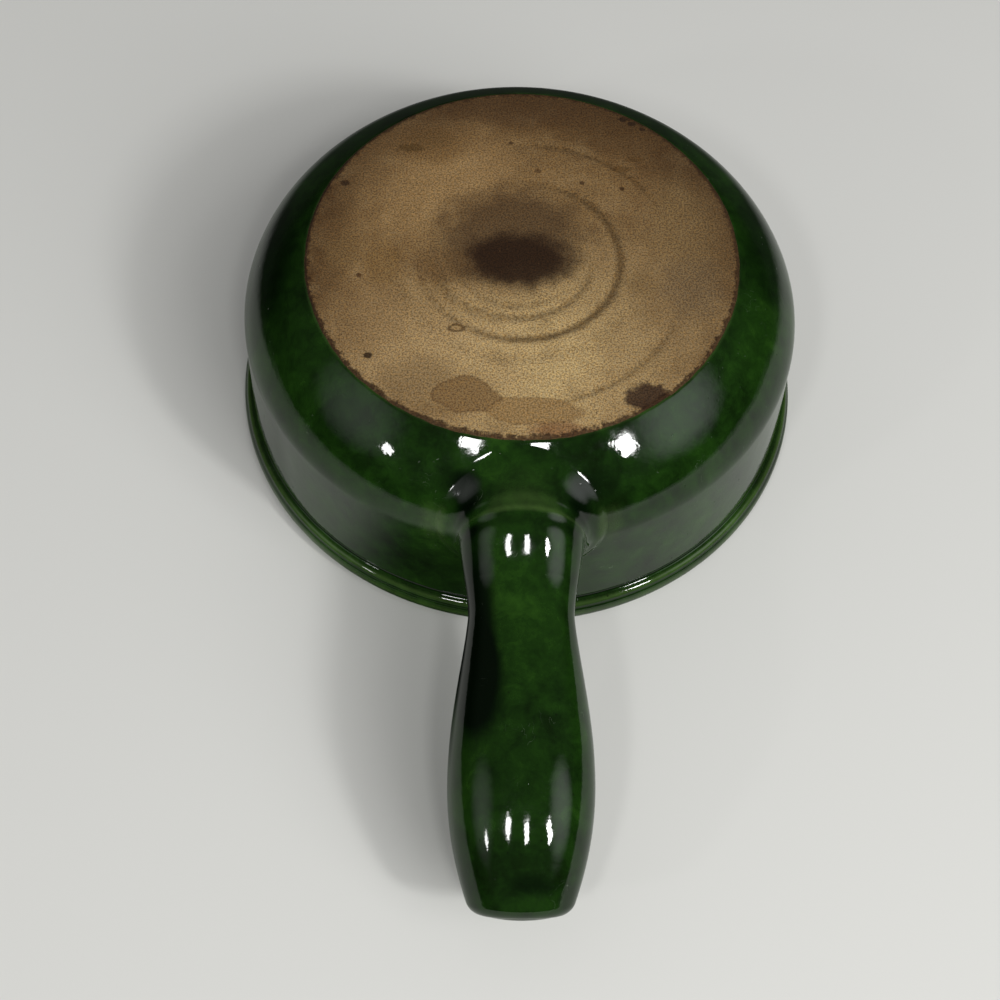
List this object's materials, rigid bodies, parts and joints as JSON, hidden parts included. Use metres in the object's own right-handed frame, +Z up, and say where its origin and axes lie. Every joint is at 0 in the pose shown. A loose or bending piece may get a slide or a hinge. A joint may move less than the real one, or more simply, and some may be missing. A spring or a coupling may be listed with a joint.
{
  "type": "ceramic fondue pot",
  "caption": "Wide, low, green-glazed stoneware fondue pot with a flat bare base, a rolled rim and one hollow side handle luted to its belly.",
  "frame": {"origin": "centre of the base's flat underside, on the bowl's axis", "axes": "+Z up out of the bowl's mouth, -Y from the bowl's axis towards the handle's tip, +X to the right seen from the handle"},
  "size_m": [0.2, 0.3163, 0.0782],
  "materials": {
    "green_glaze": "glossy fired glaze",
    "bare_clay": "unglazed fired clay"
  },
  "bodies": {
    "root": {"bowl": "green_glaze", "handle": "green_glaze", "luting_collar": "green_glaze"}
  },
  "joints": []
}
